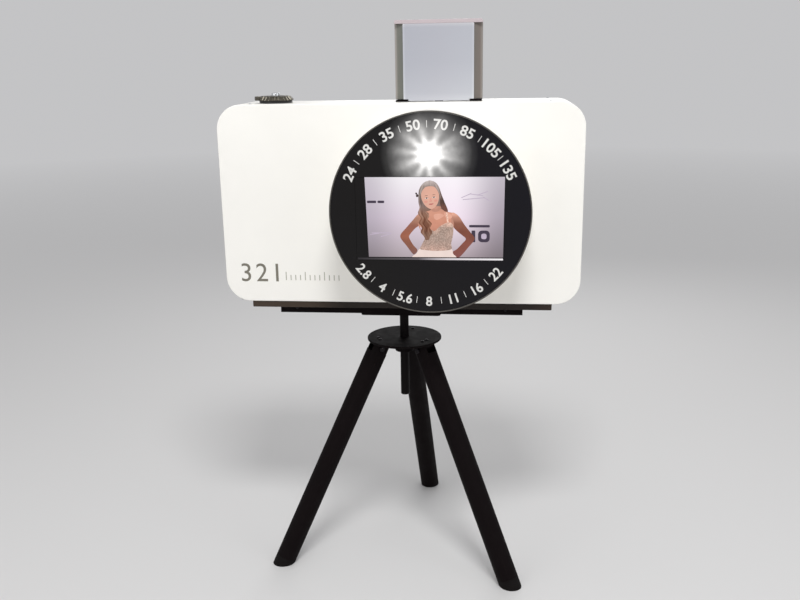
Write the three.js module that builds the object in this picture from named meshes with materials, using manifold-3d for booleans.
// A photo booth built like a giant compact camera: a white case with a large lens disc that holds
// a display, a lamp and a camera, a light head and a shutter on its top, all on a folding tripod.
// Millimetres, +Z up, front towards -Y, origin under the middle of the whole object, on the floor.
import * as THREE from 'three';
import { mergeVertices } from 'three/addons/utils/BufferGeometryUtils.js';
import Module from 'manifold-3d';

const wasm = await Module();
wasm.setup();

// ---- driving dimensions ----
const GAP = 0.3; // between pieces that touch
const ROUND = 40; // sides of a large circle
const SMALL_ROUND = 12; // sides of a small circle

// Case
const CASE_WIDTH = 1230;
const CASE_HEIGHT = 680;
const CASE_DEPTH = 240;
const CASE_BOTTOM = 986;
const CORNER_RADIUS = 85;
const PANEL = 6; // front and rear sheet
const SKIN = 5; // side, top and bottom sheet
const SEAM_X = 515; // where the end shells meet the top and bottom covers

// Lens
const LENS_X = 117;
const LENS_Z = 1323.6;
const LENS_RADIUS = 326;
const LENS_REACH = 163; // how far it stands out of the front panel
const DISC_RADIUS = 321.6;
const DISC_THICK = 5.2;
const SCREEN_WIDTH = 476;
const SCREEN_HEIGHT = 268;
const SCREEN_Z = 1308;
const LAMP_Z = 1514;
const LAMP_RADIUS = 25;
const CAMERA_Z = 1472;
const CAMERA_RADIUS = 10;

// Light head on the top
const HEAD_X = 133;
const HEAD_FRONT = -60;
const HEAD_DEPTH = 64;
const HEAD_HALF_FRONT = 117;
const HEAD_HALF_BACK = 145;
const HEAD_SHOULDER = 10;
const HEAD_TOP = 1928;
const HEAD_BOTTOM = 1669;
const HEAD_AXIS_Y = 14;
const HEAD_AXIS_Z = 1684;

// Shutter
const SHUTTER_X = -428;
const SHUTTER_Y = -25;

// Rear
const DOOR_LEFT = -520;
const DOOR_RIGHT = 60;
const DOOR_LOW = 1056;
const DOOR_HIGH = 1596;
const DOOR_GAP = 2;
const DOOR_AXIS_X = -524;
const DOOR_AXIS_Y = 126;
const FAN_X = 330;
const FAN_Z = 1500;
const INLET_X = 440;
const INLET_Z = 1085;
const LATCH_X = 20;
const LATCH_Z = 1326;

// Support under the case
const BOARD_THICK = 22;
const RAIL_BOTTOM = 929;
const ADAPTER_BOTTOM = 916;
const COLUMN_RADIUS = 16;
const COLUMN_BOTTOM = 605;

// Tripod
const HEAD_PLATE_TOP = 828;
const HEAD_PLATE_THICK = 8;
const HEAD_PLATE_RADIUS = 134.4;
const PIN_RADIAL = 97; // leg hinge, from the column's axis
const PIN_Z = 800;
const FOOT_RADIAL = 485; // middle of a foot on the floor
const LEG_RADIUS = 37.5;
const FOOT_SOLE = 26; // rubber below the tube's end, along the leg's axis
const REAR_LEG_AZIMUTH = 84; // degrees from +X
const TONGUE_HALF = 22; // half width of the tongue in the leg's top
const KNOB_Z = 793;

// ---- derived values ----
const rad = THREE.MathUtils.degToRad;
const CASE_TOP = CASE_BOTTOM + CASE_HEIGHT;
const CASE_MIDDLE = CASE_BOTTOM + CASE_HEIGHT / 2;
const FRONT = -CASE_DEPTH / 2;
const REAR = CASE_DEPTH / 2;
const DISC_FRONT = FRONT - LENS_REACH + 0.5;
const DISC_BACK = DISC_FRONT + DISC_THICK;
const LEG_AZIMUTHS = [0, 120, 240].map((turn) => REAR_LEG_AZIMUTH + turn);
const SPLAY = Math.atan2(FOOT_RADIAL - PIN_RADIAL, PIN_Z);
const LEG_LENGTH = Math.hypot(FOOT_RADIAL - PIN_RADIAL, PIN_Z);

// A foot meets the floor in an ellipse; its farthest points set the middle of the object's depth.
const footReach = (azimuth) => Math.hypot(
  LEG_RADIUS / Math.cos(SPLAY) * Math.sin(rad(azimuth)), LEG_RADIUS * Math.cos(rad(azimuth)));
const footY = LEG_AZIMUTHS.map((azimuth) => FOOT_RADIAL * Math.sin(rad(azimuth)));
const rearmost = Math.max(...footY.map((y, i) => y + footReach(LEG_AZIMUTHS[i])));
const foremost = Math.min(...footY.map((y, i) => y - footReach(LEG_AZIMUTHS[i])));
const COLUMN_Y = -(rearmost + foremost) / 2;

// ---- materials ----
const finish = (color, roughness, metalness = 0) => () =>
  new THREE.MeshStandardMaterial({ color, roughness, metalness });
const whitePaint = finish(0xf6f5ef, 0.4);
const blackGloss = finish(0x201f1e, 0.12);
const blackPaint = finish(0x1a1618, 0.55, 0.2);
const blackPlastic = finish(0x242424, 0.5);
const darkBoard = finish(0x3d362e, 0.5);
const steel = finish(0x8a8c8f, 0.35, 0.9);
const zinc = finish(0xb9bcc0, 0.4, 0.9);
const aluminium = finish(0x9a9795, 0.4, 0.8);
const chrome = finish(0xd8dadc, 0.12, 1);
const diffuserWhite = finish(0xc4c5cd, 0.45);
const litGlass = finish(0xcdbfce, 0.1);
const rubber = finish(0x141213, 0.85);
const boardGreen = finish(0x2c6a3f, 0.6);

// ---- solids and booleans ----
function toSolid(geometry) {
  const bare = geometry.index ? geometry.toNonIndexed() : geometry.clone();
  bare.deleteAttribute('normal');
  bare.deleteAttribute('uv');
  const merged = mergeVertices(bare, 1e-3);
  return new wasm.Manifold(new wasm.Mesh({
    numProp: 3,
    vertProperties: new Float32Array(merged.attributes.position.array),
    triVerts: new Uint32Array(merged.index.array),
  }));
}

function toGeometry(solid) {
  const mesh = solid.getMesh();
  const geometry = new THREE.BufferGeometry();
  geometry.setAttribute('position', new THREE.BufferAttribute(mesh.vertProperties, mesh.numProp));
  geometry.setIndex(new THREE.BufferAttribute(mesh.triVerts, 1));
  const flat = geometry.toNonIndexed();
  flat.computeVertexNormals();
  return flat;
}

const join = (...pieces) => toGeometry(pieces.map(toSolid).reduce((all, one) => all.add(one)));
const cut = (base, ...cutters) => toGeometry(
  cutters.map(toSolid).reduce((left, one) => left.subtract(one), toSolid(base)));

// ---- shapes ----
function arc(x, y, radius, from, to, steps) {
  return Array.from({ length: steps + 1 }, (_, i) => {
    const angle = rad(from + (to - from) * i / steps);
    return new THREE.Vector2(x + radius * Math.cos(angle), y + radius * Math.sin(angle));
  });
}

const circle = (x, y, radius, sides = ROUND) => arc(x, y, radius, 0, 360, sides).slice(0, -1);
const points = (...pairs) => pairs.map(([x, y]) => new THREE.Vector2(x, y));
const rectangle = (x0, x1, y0, y1) => points([x0, y0], [x1, y0], [x1, y1], [x0, y1]);

function roundedRectangle(x0, x1, y0, y1, radius, steps = 8) {
  return [
    ...arc(x1 - radius, y1 - radius, radius, 0, 90, steps),
    ...arc(x0 + radius, y1 - radius, radius, 90, 180, steps),
    ...arc(x0 + radius, y0 + radius, radius, 180, 270, steps),
    ...arc(x1 - radius, y0 + radius, radius, 270, 360, steps),
  ];
}

function extruded(outline, depth, holes = []) {
  const shape = new THREE.Shape(outline);
  shape.holes = holes.map((hole) => new THREE.Path(hole));
  return new THREE.ExtrudeGeometry(shape, { depth, bevelEnabled: false });
}

// Outlines drawn in X-Z, X-Y and Y-Z, given their thickness along the third axis.
const alongY = (outline, y0, y1, holes) =>
  extruded(outline, y1 - y0, holes).rotateX(Math.PI / 2).translate(0, y1, 0);
const alongZ = (outline, z0, z1, holes) => extruded(outline, z1 - z0, holes).translate(0, 0, z0);
const alongX = (outline, x0, x1, holes) =>
  extruded(outline, x1 - x0, holes).rotateX(Math.PI / 2).rotateZ(Math.PI / 2).translate(x0, 0, 0);

const block = (x0, x1, y0, y1, z0, z1) =>
  new THREE.BoxGeometry(x1 - x0, y1 - y0, z1 - z0)
    .translate((x0 + x1) / 2, (y0 + y1) / 2, (z0 + z1) / 2);

// Turned pieces: the profile is a closed loop of [radius, height], counter-clockwise.
const turnedY = (profile, sides = ROUND) => {
  const loop = points(...profile, profile[0]);
  return new THREE.LatheGeometry(loop, sides);
};
const turnedZ = (profile, sides = ROUND) => turnedY(profile, sides).rotateX(Math.PI / 2);
const rod = (radius, length, sides = SMALL_ROUND) =>
  new THREE.CylinderGeometry(radius, radius, length, sides);
const rodZ = (x, y, radius, z0, z1, sides) =>
  rod(radius, z1 - z0, sides).rotateX(Math.PI / 2).translate(x, y, (z0 + z1) / 2);
const rodY = (x, z, radius, y0, y1, sides) =>
  rod(radius, y1 - y0, sides).translate(x, (y0 + y1) / 2, z);
const rodX = (y, z, radius, x0, x1, sides) =>
  rod(radius, x1 - x0, sides).rotateZ(Math.PI / 2).translate((x0 + x1) / 2, y, z);

function piece(name, geometry, material) {
  const mesh = new THREE.Mesh(geometry, material());
  mesh.name = name;
  return mesh;
}

// ---- case ----
const caseOutline = (inset = 0) => roundedRectangle(
  -CASE_WIDTH / 2 + inset, CASE_WIDTH / 2 - inset,
  CASE_BOTTOM + inset, CASE_TOP - inset, CORNER_RADIUS - inset);

function frontPanel() {
  const hole = circle(LENS_X, LENS_Z, LENS_RADIUS - 38);
  return piece('front_panel', alongY(caseOutline(), FRONT, FRONT + PANEL, [hole]), whitePaint);
}

// One end of the case: a side wall with its two round corners.
function endShell(name, side) {
  const centreX = CASE_WIDTH / 2 - CORNER_RADIUS;
  const high = CASE_TOP - CORNER_RADIUS;
  const low = CASE_BOTTOM + CORNER_RADIUS;
  const inner = CORNER_RADIUS - SKIN;
  const outline = [
    ...points([SEAM_X + GAP, CASE_TOP]),
    ...arc(centreX, high, CORNER_RADIUS, 90, 0, 8),
    ...arc(centreX, low, CORNER_RADIUS, 0, -90, 8),
    ...points([SEAM_X + GAP, CASE_BOTTOM], [SEAM_X + GAP, CASE_BOTTOM + SKIN]),
    ...arc(centreX, low, inner, -90, 0, 8),
    ...arc(centreX, high, inner, 0, 90, 8),
    ...points([SEAM_X + GAP, CASE_TOP - SKIN]),
  ].map((point) => point.setX(side * point.x));
  return piece(name, alongY(outline, FRONT + PANEL + GAP, REAR - PANEL - GAP), whitePaint);
}

function cover(name, z0, holes) {
  const outline = rectangle(-SEAM_X, SEAM_X, FRONT + PANEL + GAP, REAR - PANEL - GAP);
  return piece(name, alongZ(outline, z0, z0 + SKIN, holes), whitePaint);
}

const topCover = () => cover('top_cover', CASE_TOP - SKIN, [
  circle(SHUTTER_X, SHUTTER_Y, 8, SMALL_ROUND),
  circle(HEAD_X, -40, 12, SMALL_ROUND),
]);
const bottomCover = () => cover('bottom_cover', CASE_BOTTOM, [circle(300, 40, 14, SMALL_ROUND)]);

// Square-tube frame behind the front panel, with an upright on each side of the lens.
function innerFrame() {
  const inset = SKIN + GAP;
  const bar = 26;
  const left = -CASE_WIDTH / 2 + inset + bar;
  const low = CASE_BOTTOM + inset + bar;
  const high = CASE_TOP - inset - bar;
  const uprights = [-230, 460];
  const bays = [
    rectangle(left, uprights[0] - bar / 2, low, high),
    rectangle(uprights[0] + bar / 2, uprights[1] - bar / 2, low, high),
    rectangle(uprights[1] + bar / 2, -left, low, high),
  ];
  const y0 = FRONT + PANEL + GAP;
  const sheet = alongY(caseOutline(inset), y0, y0 + 20);
  return piece('inner_frame', cut(sheet, ...bays.map((bay) => alongY(bay, y0 - 1, y0 + 21))), zinc);
}

// ---- rear ----
function rearFrame() {
  const holes = [
    rectangle(DOOR_LEFT, DOOR_RIGHT, DOOR_LOW, DOOR_HIGH),
    circle(FAN_X, FAN_Z, 56, 32),
    rectangle(INLET_X - 25, INLET_X + 25, INLET_Z - 34, INLET_Z + 34),
  ];
  return piece('rear_frame', alongY(caseOutline(), REAR - PANEL, REAR, holes), whitePaint);
}

function serviceDoor() {
  const outline = rectangle(
    DOOR_LEFT + DOOR_GAP, DOOR_RIGHT - DOOR_GAP, DOOR_LOW + DOOR_GAP, DOOR_HIGH - DOOR_GAP);
  const middle = (DOOR_LEFT + DOOR_RIGHT) / 2;
  const louvers = [1120, 1140, 1160, 1490, 1510, 1530].map(
    (z) => rectangle(middle - 110, middle + 110, z - 3, z + 3));
  const shaftHole = circle(LATCH_X, LATCH_Z, 6.3, SMALL_ROUND);
  return piece('service_door', alongY(outline, REAR - PANEL, REAR, [...louvers, shaftHole]), whitePaint);
}

// A piano hinge: five knuckles, taken in turn by the fixed and the moving leaf.
function doorHinge() {
  const low = DOOR_LOW + 20;
  const pitch = (DOOR_HIGH - DOOR_LOW - 40) / 5;
  const y0 = REAR + GAP;
  const y1 = y0 + 2.5;
  const bore = rodZ(DOOR_AXIS_X, DOOR_AXIS_Y, 2.9, low - 5, low + 5 * pitch + 5);
  const leaf = (name, from, to, first) => {
    const near = Math.abs(from - DOOR_AXIS_X) < Math.abs(to - DOOR_AXIS_X) ? from : to;
    const parts = [block(from, to, y0, y1, low, low + 5 * pitch)];
    for (let i = first; i < 5; i += 2) {
      const z0 = low + i * pitch + 0.5;
      const z1 = low + (i + 1) * pitch - 0.5;
      const side = near < DOOR_AXIS_X ? [near - 1, DOOR_AXIS_X] : [DOOR_AXIS_X, near + 1];
      parts.push(block(...side, y0, y1, z0, z1));
      parts.push(rodZ(DOOR_AXIS_X, DOOR_AXIS_Y, 5.5, z0, z1));
    }
    return piece(name, cut(join(...parts), bore), steel);
  };
  const pin = rodZ(DOOR_AXIS_X, DOOR_AXIS_Y, 2.5, low - 2, low + 5 * pitch + 2);
  return [
    leaf('door_hinge_fixed', DOOR_AXIS_X - 38, DOOR_AXIS_X - 7, 0),
    leaf('door_hinge_moving', DOOR_AXIS_X + 7, DOOR_AXIS_X + 36, 1),
    piece('door_hinge_pin', pin, steel),
  ];
}

// Quarter-turn latch, shown released: its cam stands upright behind the door's edge.
function latch() {
  const plate = rodY(LATCH_X, LATCH_Z, 15, REAR + GAP, REAR + 5, 24);
  const grip = block(LATCH_X - 4.5, LATCH_X + 4.5, REAR + 4, REAR + 17, LATCH_Z - 23, LATCH_Z + 23);
  const shaft = rodY(LATCH_X, LATCH_Z, 5.7, REAR - 13, REAR + 1);
  const cam = roundedRectangle(LATCH_X - 8, LATCH_X + 8, LATCH_Z - 9, LATCH_Z + 54, 7, 3);
  return [
    piece('latch_handle', join(plate, grip, shaft), blackPlastic),
    piece('latch_cam', alongY(cam, REAR - 17, REAR - 13 - GAP), steel),
  ];
}

function fan() {
  const half = 60;
  const back = REAR - PANEL - GAP;
  const front = back - 25;
  const square = roundedRectangle(FAN_X - half, FAN_X + half, FAN_Z - half, FAN_Z + half, 8, 3);
  const shroud = alongY(square, front, back, [circle(FAN_X, FAN_Z, 57, 32)]);
  const motor = rodY(FAN_X, FAN_Z, 20, front, front + 3, 24);
  const arms = [30, 150, 270].map((turn) => {
    const arm = block(15, 58, front, front + 3, -3, 3);
    return arm.rotateY(rad(-turn)).translate(FAN_X, 0, FAN_Z);
  });
  const hub = rodY(FAN_X, FAN_Z, 20, front + 4, back - 2, 24);
  const blades = Array.from({ length: 7 }, (_, i) => {
    const blade = block(17, 54, -8, 8, -1.2, 1.2).rotateX(rad(42));
    return blade.rotateY(rad(360 / 7 * i)).translate(FAN_X, (front + back) / 2 + 1, FAN_Z);
  });
  return [
    piece('fan_housing', join(shroud, motor, ...arms), blackPlastic),
    piece('fan_rotor', join(hub, ...blades), blackPlastic),
  ];
}

function fanGuard() {
  const y0 = REAR + GAP;
  const y1 = y0 + 2.5;
  const rings = [17, 37, 59].map((radius) => alongY(
    circle(FAN_X, FAN_Z, radius + 2, 20), y0, y1, [circle(FAN_X, FAN_Z, radius - 2, 20)]));
  const bars = [0, 90].map((turn) =>
    block(-60, 60, y0, y1, -2, 2).rotateY(rad(turn + 45)).translate(FAN_X, 0, FAN_Z));
  return piece('fan_guard', join(...rings, ...bars), steel);
}

// Mains inlet with the power switch above it in one snap-in module.
function powerInlet() {
  const flange = block(INLET_X - 30, INLET_X + 30, REAR + GAP, REAR + 3.3, INLET_Z - 39, INLET_Z + 39);
  const body = block(INLET_X - 24.5, INLET_X + 24.5, REAR - 28, REAR + 1, INLET_Z - 33.5, INLET_Z + 33.5);
  const socket = block(INLET_X - 13, INLET_X + 13, REAR - 13, REAR + 9, INLET_Z - 26, INLET_Z - 8);
  const pocket = block(
    INLET_X - 11.3, INLET_X + 11.3, REAR - 10, REAR + 9, INLET_Z + 9.5, INLET_Z + 24.5);
  const rocker = points([-5, -2], [-5, 2], [1, 6.3], [5, 6.3], [3.2, 0], [5, -6.3], [1, -6.3]);
  const lever = alongX(rocker, -10.7, 10.7)
    .rotateX(rad(-8)).translate(INLET_X, REAR - 2, INLET_Z + 17);
  return [
    piece('power_inlet', cut(join(flange, body), socket, pocket), blackPlastic),
    piece('rocker_switch', lever, blackPlastic),
  ];
}

// ---- inside the case ----
function equipment() {
  const floor = CASE_BOTTOM + SKIN + GAP;
  const computer = roundedRectangle(-470, -270, -70, 80, 14, 4);
  const supply = join(
    block(160, 375, -40, 75, floor, floor + 50), block(375, 390, -35, 70, floor, floor + 20));
  return [
    piece('mini_pc', alongZ(computer, floor, floor + 48), blackPlastic),
    piece('power_supply', supply, zinc),
  ];
}

// ---- lens ----
const atLens = (geometry) => geometry.translate(LENS_X, 0, LENS_Z);

function lensBarrel() {
  const bore = LENS_RADIUS - 10;
  const seat = LENS_RADIUS - 4;
  const rear = FRONT - GAP;
  const lip = FRONT - LENS_REACH;
  const profile = [
    [bore, DISC_BACK + GAP], [seat, DISC_BACK + GAP], [seat, lip], [LENS_RADIUS - 2, lip],
    [LENS_RADIUS, lip + 2], [LENS_RADIUS, rear], [bore - 20, rear], [bore - 20, rear - 6],
    [bore, rear - 6],
  ];
  return piece('lens_barrel', atLens(turnedY(profile)), whitePaint);
}

function lensDisc() {
  const windowHalf = SCREEN_WIDTH / 2 + 1;
  const holes = [
    rectangle(LENS_X - windowHalf, LENS_X + windowHalf,
      SCREEN_Z - SCREEN_HEIGHT / 2 - 1, SCREEN_Z + SCREEN_HEIGHT / 2 + 1),
    circle(LENS_X, LAMP_Z, LAMP_RADIUS + GAP, 32),
    circle(LENS_X, CAMERA_Z, CAMERA_RADIUS + GAP, SMALL_ROUND),
  ];
  const disc = alongY(circle(LENS_X, LENS_Z, DISC_RADIUS), DISC_FRONT, DISC_BACK, holes);
  return piece('lens_disc', disc, blackGloss);
}

function display() {
  const pane = rectangle(
    LENS_X - SCREEN_WIDTH / 2 - 0.7, LENS_X + SCREEN_WIDTH / 2 + 0.7,
    SCREEN_Z - SCREEN_HEIGHT / 2 - 0.7, SCREEN_Z + SCREEN_HEIGHT / 2 + 0.7);
  const panelFront = DISC_BACK + 0.6;
  const panelBack = panelFront + 14;
  const panel = join(
    block(LENS_X - 252, LENS_X + 252, panelFront, panelBack, SCREEN_Z - 148, SCREEN_Z + 148),
    block(LENS_X - 160, LENS_X + 160, panelBack - 1, panelBack + 6, SCREEN_Z - 90, SCREEN_Z + 90));
  return [
    piece('screen_glass', alongY(pane, DISC_FRONT + 1, DISC_BACK), litGlass),
    piece('display_panel', panel, blackPlastic),
  ];
}

// The plate across the barrel that carries the display, the lamp and the camera.
const PLATE_FRONT = DISC_BACK + 0.6 + 14 + 6 + GAP;

function equipmentPlate() {
  const slots = [-1, 1].map((side) => roundedRectangle(
    LENS_X + side * 180 - 75, LENS_X + side * 180 + 75, SCREEN_Z - 40, SCREEN_Z + 40, 10, 3));
  const plate = alongY(circle(LENS_X, LENS_Z, LENS_RADIUS - 10.6), PLATE_FRONT, PLATE_FRONT + 4, slots);
  return piece('equipment_plate', plate, aluminium);
}

function lampAndCamera() {
  const back = PLATE_FRONT - GAP;
  const front = DISC_FRONT + 1;
  const lamp = turnedY([
    [0, front + 14], [8, front + 14], [LAMP_RADIUS - 2.5, front], [LAMP_RADIUS, front],
    [LAMP_RADIUS, back], [0, back],
  ], 24).translate(LENS_X, 0, LAMP_Z);
  const optics = rodY(LENS_X, CAMERA_Z, CAMERA_RADIUS, front, front + 9);
  const body = block(
    LENS_X - 22, LENS_X + 22, front + 9 + GAP, back, CAMERA_Z - 12, CAMERA_Z + 12);
  return [
    piece('flash_lamp', lamp, chrome),
    piece('camera_lens', optics, blackGloss),
    piece('camera_body', body, blackPlastic),
  ];
}

// ---- shutter ----
const atShutter = (geometry) => geometry.translate(SHUTTER_X, SHUTTER_Y, CASE_TOP);

function shutter() {
  const base = turnedZ([
    [6.5, GAP], [56, GAP], [56, 8.3], [19.5, 8.3], [19.5, 22], [15, 22], [15, 13], [6.5, 13],
  ], 24);
  const ring = turnedZ([[20.3, 8.8], [60, 8.8], [61.5, 12], [52, 24], [20.3, 24]], 32);
  const lever = block(-72, -48, -11, 11, 10, 23).rotateZ(rad(25));
  const button = turnedZ([
    [0, -11], [5.8, -11], [5.8, 16.5], [14.3, 16.5], [14.3, 30], [12, 33], [0, 34],
  ], 20);
  return [
    piece('shutter_base', atShutter(base), blackPlastic),
    piece('zoom_ring', atShutter(join(ring, lever)), steel),
    piece('shutter_button', atShutter(button), chrome),
  ];
}

// ---- light head ----
const HEAD_BACK = HEAD_FRONT + HEAD_DEPTH;
const HEAD_FOOT = HEAD_BOTTOM + 5; // underside over the brackets
const CAP_HEIGHT = 12;
const BRACKET_HALF = 103; // inner edge of the brackets, from the middle of the head

function headPlan(front, back, near, far, shoulder) {
  return points(
    [HEAD_X - near, front], [HEAD_X + near, front], [HEAD_X + far, front + shoulder],
    [HEAD_X + far, back], [HEAD_X - far, back], [HEAD_X - far, front + shoulder],
  );
}

function flashHousing() {
  const front = HEAD_FRONT + 4 + GAP;
  const top = HEAD_TOP - CAP_HEIGHT - GAP;
  const outside = headPlan(front, HEAD_BACK, HEAD_HALF_FRONT, HEAD_HALF_BACK, HEAD_SHOULDER);
  const inside = headPlan(
    front - 1, HEAD_BACK - 3, HEAD_HALF_FRONT - 8, HEAD_HALF_BACK - 3.2, HEAD_SHOULDER + 4);
  const shell = alongZ(outside, HEAD_BOTTOM, top);
  const hollow = alongZ(inside, HEAD_BOTTOM + 12, top - 3);
  const notches = [-1, 1].map((side) => {
    const edges = [HEAD_X + side * (BRACKET_HALF - 2), HEAD_X + side * 160].sort((a, b) => a - b);
    return block(...edges, HEAD_FRONT - 5, HEAD_BACK + 5, HEAD_BOTTOM - 5, HEAD_FOOT);
  });
  const lugs = [-1, 1].map((side) => {
    const edges = [HEAD_X + side * 90, HEAD_X + side * 101].sort((a, b) => a - b);
    const outline = [
      ...points([HEAD_BACK - 1, HEAD_AXIS_Z - 8]),
      ...arc(HEAD_AXIS_Y, HEAD_AXIS_Z, 8, -90, 90, 8),
      ...points([HEAD_BACK - 1, HEAD_AXIS_Z + 8]),
    ];
    return alongX(outline, ...edges);
  });
  const bore = rodX(HEAD_AXIS_Y, HEAD_AXIS_Z, 4.3, HEAD_X - 150, HEAD_X + 150);
  return piece('flash_housing', cut(join(cut(shell, hollow, ...notches), ...lugs), bore), aluminium);
}

function flashFront() {
  const half = HEAD_HALF_FRONT;
  const inner = BRACKET_HALF - 2;
  const top = HEAD_TOP - CAP_HEIGHT - GAP;
  const face = points(
    [-half, HEAD_FOOT], [-inner, HEAD_FOOT], [-inner, HEAD_BOTTOM], [inner, HEAD_BOTTOM],
    [inner, HEAD_FOOT], [half, HEAD_FOOT], [half, top], [-half, top],
  ).map((point) => point.setX(point.x + HEAD_X));
  const ledBoard = block(HEAD_X - 100, HEAD_X + 100, -24, -22, HEAD_BOTTOM + 22, HEAD_TOP - 26);
  const edge = HEAD_HALF_BACK;
  const lidOutline = [
    ...points([HEAD_X - edge, HEAD_TOP - CAP_HEIGHT], [HEAD_X + edge, HEAD_TOP - CAP_HEIGHT]),
    ...arc(HEAD_X + edge - 10, HEAD_TOP - 10, 10, 0, 90, 5),
    ...arc(HEAD_X - edge + 10, HEAD_TOP - 10, 10, 90, 180, 5),
  ];
  const lid = alongY(lidOutline, HEAD_FRONT, HEAD_BACK);
  const under = block(
    HEAD_X - edge + 12, HEAD_X + edge - 12, HEAD_FRONT + 4, HEAD_BACK - 4,
    HEAD_TOP - CAP_HEIGHT - 1, HEAD_TOP - 4);
  return [
    piece('flash_diffuser', alongY(face, HEAD_FRONT, HEAD_FRONT + 4), diffuserWhite),
    piece('flash_led_board', ledBoard, boardGreen),
    piece('flash_cap', cut(lid, under), diffuserWhite),
  ];
}

function flashBracket(name, side) {
  const foot = [HEAD_X + side * BRACKET_HALF, HEAD_X + side * 143].sort((a, b) => a - b);
  const ear = [HEAD_X + side * BRACKET_HALF, HEAD_X + side * 111].sort((a, b) => a - b);
  const top = CASE_TOP + 5.6;
  const outline = [
    ...points([HEAD_AXIS_Y - 8, CASE_TOP + 1], [HEAD_AXIS_Y + 8, CASE_TOP + 1]),
    ...arc(HEAD_AXIS_Y, HEAD_AXIS_Z, 8, 0, 180, 8),
  ];
  const body = join(
    block(...foot, HEAD_FRONT - 2, HEAD_AXIS_Y + 8, CASE_TOP + GAP, top), alongX(outline, ...ear));
  const bore = rodX(HEAD_AXIS_Y, HEAD_AXIS_Z, 4.3, ear[0] - 5, ear[1] + 5);
  return piece(name, cut(body, bore), blackPaint);
}

const flashHingePin = () =>
  piece('flash_hinge_pin', rodX(HEAD_AXIS_Y, HEAD_AXIS_Z, 4, HEAD_X - 113, HEAD_X + 113), steel);

// ---- support under the case ----
const baseBoard = () => piece('base_board', block(
  -527, 521, FRONT + 4, REAR - 4, CASE_BOTTOM - GAP - BOARD_THICK, CASE_BOTTOM - GAP), darkBoard);

function mountChannel() {
  const top = CASE_BOTTOM - BOARD_THICK - 2 * GAP;
  const low = RAIL_BOTTOM;
  const outline = points(
    [-60, low], [-56, low], [-56, top - 4], [56, top - 4], [56, low], [60, low], [60, top], [-60, top]);
  return piece('mount_channel', alongX(outline, -440, 424), blackPaint);
}

function adapterPlate() {
  const outline = roundedRectangle(-152, 134, -40, 40, 12, 3);
  const hole = circle(0, 0, COLUMN_RADIUS + 0.6, 32);
  return piece('adapter_plate',
    alongZ(outline, ADAPTER_BOTTOM, RAIL_BOTTOM - GAP, [hole]), blackPaint);
}

// The cup that turns on the column's upper end.
function panSocket() {
  const bore = COLUMN_RADIUS + 0.4;
  const low = RAIL_BOTTOM;
  return piece('pan_socket', turnedZ([
    [bore, low], [38, low], [38, low + 6], [26, low + 6], [26, low + 24], [0, low + 24],
    [0, low + 19], [bore, low + 19],
  ], 24), steel);
}

// ---- column ----
function column() {
  const wall = COLUMN_RADIUS - 2.5;
  const low = COLUMN_BOTTOM;
  const tube = turnedZ([
    [wall, low + 4], [COLUMN_RADIUS, low + 4],
    [COLUMN_RADIUS, RAIL_BOTTOM + 18.7], [wall, RAIL_BOTTOM + 18.7],
  ], 20);
  const plug = wall - GAP;
  const cap = turnedZ([
    [0, low], [COLUMN_RADIUS, low], [COLUMN_RADIUS, low + 3.7], [plug, low + 3.7],
    [plug, low + 20], [0, low + 20],
  ], 20);
  return [piece('column', tube, blackPaint), piece('column_cap', cap, blackPlastic)];
}

// ---- tripod head ----
const PLATE_UNDER = HEAD_PLATE_TOP - HEAD_PLATE_THICK;

function headPlate() {
  const edge = HEAD_PLATE_RADIUS;
  return piece('head_plate', turnedZ([
    [17, PLATE_UNDER], [edge - 3, PLATE_UNDER], [edge, PLATE_UNDER + 3],
    [edge, HEAD_PLATE_TOP - 2], [edge - 2, HEAD_PLATE_TOP], [17, HEAD_PLATE_TOP],
  ]), blackPaint);
}

function headCollar() {
  const bore = COLUMN_RADIUS + 0.4;
  const top = PLATE_UNDER - GAP;
  const sleeve = turnedZ([
    [bore, 775], [34, 775], [34, top - 8], [48, top - 8], [48, top], [bore, top],
  ], 24);
  return piece('head_collar', cut(sleeve, rodX(0, KNOB_Z, 5.4, 10, 40)), blackPaint);
}

function clampKnob() {
  const screw = rodX(0, KNOB_Z, 5, COLUMN_RADIUS + 0.7, 54);
  const boss = rodX(0, KNOB_Z, 11, 46, 56);
  const lobes = [0, 60, 120].map((turn) => block(54, 74, -18, 18, -6, 6)
    .rotateX(rad(turn)).translate(0, 0, KNOB_Z));
  return piece('clamp_knob', join(screw, boss, ...lobes), blackPlastic);
}

// ---- legs, drawn with the leg leaning out towards +X ----
// A tongue under the head plate; the leg's slotted top straddles it, held by a cross pin.
function hingeBracket(name) {
  const top = PLATE_UNDER - GAP;
  const outline = [
    ...points([PIN_RADIAL + 22, top], [PIN_RADIAL - 22, top], [PIN_RADIAL - 22, PIN_Z + 8]),
    ...arc(PIN_RADIAL, PIN_Z, 15, 180, 360, 8),
    ...points([PIN_RADIAL + 22, PIN_Z + 8]),
  ];
  const body = alongY(outline, -TONGUE_HALF, TONGUE_HALF);
  const boss = rodY(PIN_RADIAL, PIN_Z, 11, -32.5, 32.5);
  const bore = rodY(PIN_RADIAL, PIN_Z, 6.3, -40, 40);
  return piece(name, cut(join(body, boss), bore), blackPaint);
}

function hingePin(name) {
  const profile = [
    [0, -44], [9, -44], [9, -38], [6, -38], [6, 38], [9, 38], [9, 44], [0, 44],
  ];
  return piece(name, turnedY(profile, SMALL_ROUND).translate(PIN_RADIAL, 0, PIN_Z), zinc);
}

// Tilts a piece drawn straight down from the leg's pin at the origin into the leg's own lean.
const leaning = (geometry) => geometry.rotateY(-SPLAY).translate(PIN_RADIAL, 0, PIN_Z);
const below = (height) => block(-200, 900, -200, 200, -300, height);

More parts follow.
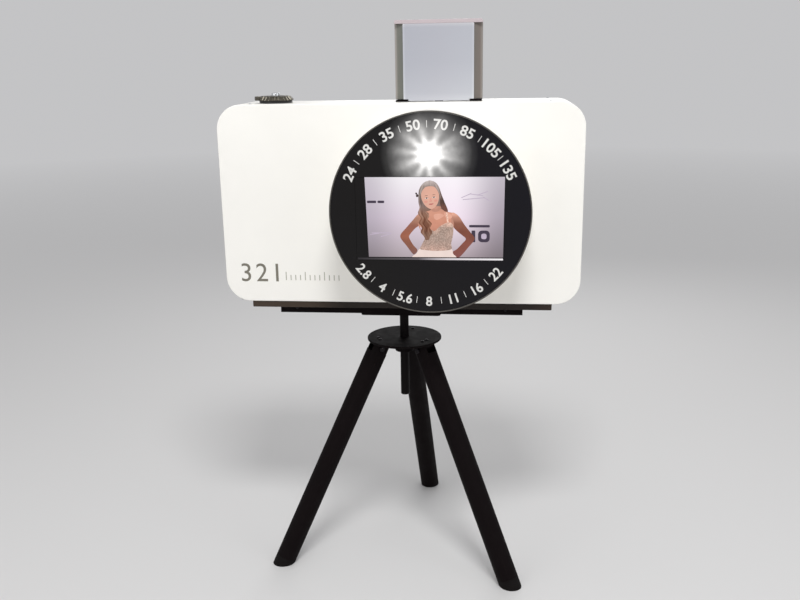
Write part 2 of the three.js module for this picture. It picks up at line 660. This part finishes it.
function leg(name) {
  const inner = LEG_RADIUS - 2.5;
  const end = -LEG_LENGTH + FOOT_SOLE + GAP;
  const tube = turnedZ([
    [0, -27], [inner, -27], [inner, end], [LEG_RADIUS, end], [LEG_RADIUS, 15], [inner, 15],
    [inner, -22], [0, -22],
  ], 24);
  const slot = block(-60, 60, -TONGUE_HALF - GAP, TONGUE_HALF + GAP, -21.5, 40);
  const bore = rodY(0, 0, 6.3, -50, 50);
  const slotted = leaning(cut(tube, slot, bore));
  const headroom = block(-200, 400, -200, 200, PLATE_UNDER - 1.5, 1000);
  return piece(name, cut(slotted, headroom), blackPaint);
}

function footPad(name) {
  const sole = rodZ(0, 0, LEG_RADIUS, -LEG_LENGTH - 60, -LEG_LENGTH + FOOT_SOLE, 24);
  const spigot = rodZ(0, 0, LEG_RADIUS - 3, -LEG_LENGTH, -LEG_LENGTH + FOOT_SOLE + 30, 24);
  return piece(name, cut(leaning(join(sole, spigot)), below(0)), rubber);
}

// ---- the whole object ----
const booth = new THREE.Group();
booth.add(
  frontPanel(), endShell('left_shell', -1), endShell('right_shell', 1), topCover(), bottomCover(),
  innerFrame(), rearFrame(), serviceDoor(), ...doorHinge(), ...latch(), ...fan(), fanGuard(),
  ...powerInlet(), ...equipment(), lensBarrel(), lensDisc(), ...display(), equipmentPlate(),
  ...lampAndCamera(), ...shutter(), flashHousing(), ...flashFront(),
  flashBracket('flash_bracket_left', -1), flashBracket('flash_bracket_right', 1), flashHingePin(),
  baseBoard(), mountChannel(), adapterPlate(), panSocket());

const tripod = new THREE.Group();
const knob = clampKnob();
knob.rotation.z = rad(LEG_AZIMUTHS[0] + 60);
const collar = headCollar();
collar.rotation.z = knob.rotation.z;
tripod.add(...column(), headPlate(), collar, knob);
LEG_AZIMUTHS.forEach((azimuth, i) => {
  const side = new THREE.Group();
  side.rotation.z = rad(azimuth);
  side.add(
    hingeBracket(`hinge_bracket_${i + 1}`), hingePin(`hinge_pin_${i + 1}`),
    leg(`leg_${i + 1}`), footPad(`foot_pad_${i + 1}`));
  tripod.add(side);
});

const photoBooth = new THREE.Group();
booth.position.y = COLUMN_Y;
tripod.position.y = COLUMN_Y;
photoBooth.add(booth, tripod);

export default photoBooth;
